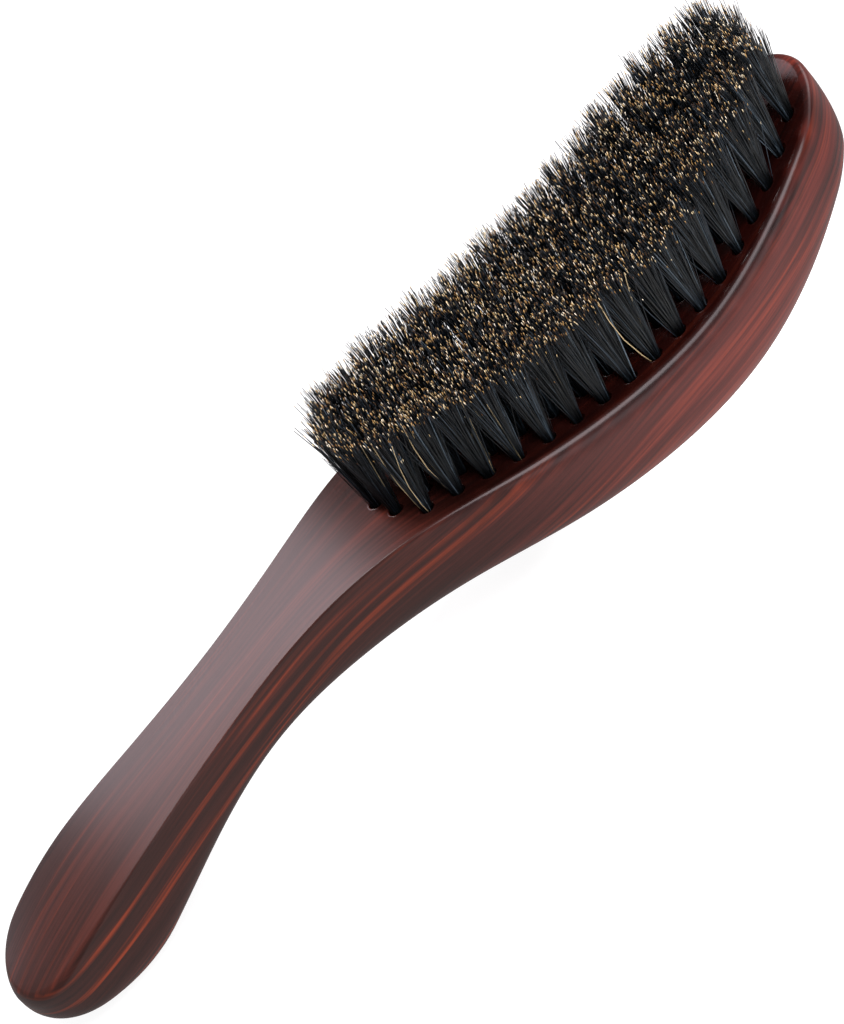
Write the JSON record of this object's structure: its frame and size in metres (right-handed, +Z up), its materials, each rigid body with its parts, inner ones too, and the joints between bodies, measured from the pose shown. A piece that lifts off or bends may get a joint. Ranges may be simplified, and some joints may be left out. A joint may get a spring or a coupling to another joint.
{
  "type": "beard brush",
  "caption": "Lacquered wooden brush with a long contoured handle and a curved face of staple-set boar bristle tufts.",
  "frame": {"origin": "middle of the bounding box in X and Y, on the surface that the back of the brush lies on", "axes": "+X from the handle end to the head tip, +Y across the brush, +Z up out of the bristle face"},
  "size_m": [0.2298, 0.0516, 0.0513],
  "materials": {
    "lacquered_wood": "dark red-brown streaked hardwood under clear gloss lacquer",
    "boar_bristle": "dark natural bristle with pale split tips",
    "anchor_wire": "flat galvanised steel wire"
  },
  "bodies": {
    "root": {"wood_body": "lacquered_wood", "tuft_row_01": "boar_bristle", "tuft_row_02": "boar_bristle", "tuft_row_03": "boar_bristle", "tuft_row_04": "boar_bristle", "tuft_row_05": "boar_bristle", "tuft_row_06": "boar_bristle", "tuft_row_07": "boar_bristle", "tuft_row_08": "boar_bristle", "tuft_row_09": "boar_bristle", "tuft_row_10": "boar_bristle", "tuft_row_11": "boar_bristle", "tuft_row_12": "boar_bristle", "tuft_row_13": "boar_bristle", "tuft_row_14": "boar_bristle", "tuft_row_15": "boar_bristle", "tuft_row_16": "boar_bristle", "tuft_row_17": "boar_bristle", "anchor_row_01": "anchor_wire", "anchor_row_02": "anchor_wire", "anchor_row_03": "anchor_wire", "anchor_row_04": "anchor_wire", "anchor_row_05": "anchor_wire", "anchor_row_06": "anchor_wire", "anchor_row_07": "anchor_wire", "anchor_row_08": "anchor_wire", "anchor_row_09": "anchor_wire", "anchor_row_10": "anchor_wire", "anchor_row_11": "anchor_wire", "anchor_row_12": "anchor_wire", "anchor_row_13": "anchor_wire", "anchor_row_14": "anchor_wire", "anchor_row_15": "anchor_wire", "anchor_row_16": "anchor_wire", "anchor_row_17": "anchor_wire"}
  },
  "joints": []
}
